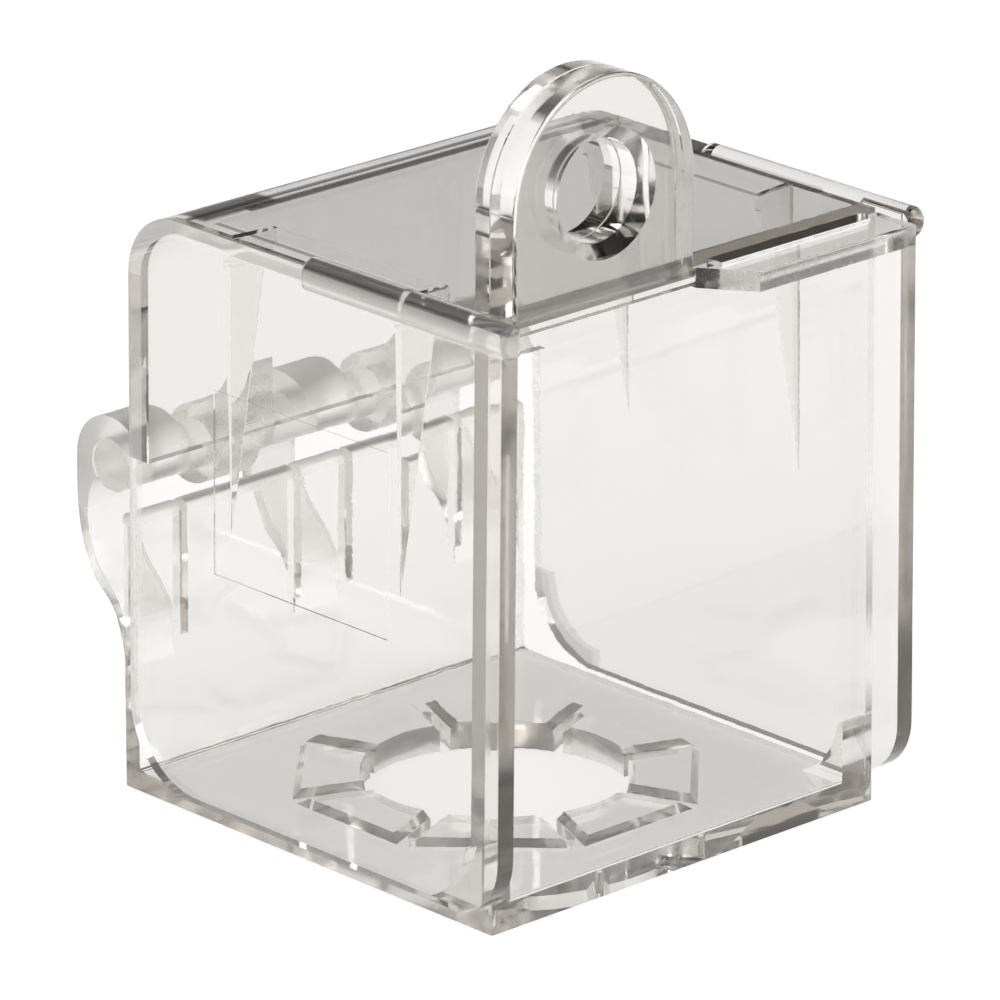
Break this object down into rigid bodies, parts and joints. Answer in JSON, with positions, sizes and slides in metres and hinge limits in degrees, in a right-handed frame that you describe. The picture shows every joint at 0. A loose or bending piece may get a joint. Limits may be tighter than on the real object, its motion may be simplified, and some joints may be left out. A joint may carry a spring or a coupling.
{
  "type": "switch lockout cover",
  "caption": "Clear hinged box that shuts over a panel push-button or rotary switch, with a round switch hole, an open-hook hinge at the back and a two-ply padlock eye at the top front.",
  "frame": {"origin": "centre of the round switch hole on the underside of the base plate, which lies on the panel", "axes": "+Z away from the panel, -Y towards the padlock eye, +Y towards the hinge, +X to the right of someone facing the eye"},
  "size_m": [0.0662, 0.0789, 0.0985],
  "materials": {
    "clear_base": "polished clear moulding",
    "clear_cover": "polished clear moulding",
    "clear_rod": "polished clear moulding"
  },
  "bodies": {
    "base": {"base": "clear_base"},
    "cover": {"cover": "clear_cover", "hinge_rod": "clear_rod"}
  },
  "joints": [
    {"name": "cover_hinge", "type": "hinge", "parent": "base", "child": "cover", "pos_m": [0, 0.0337, 0.0392], "axis": [-1, 0, 0], "range_deg": [0, 160]}
  ]
}
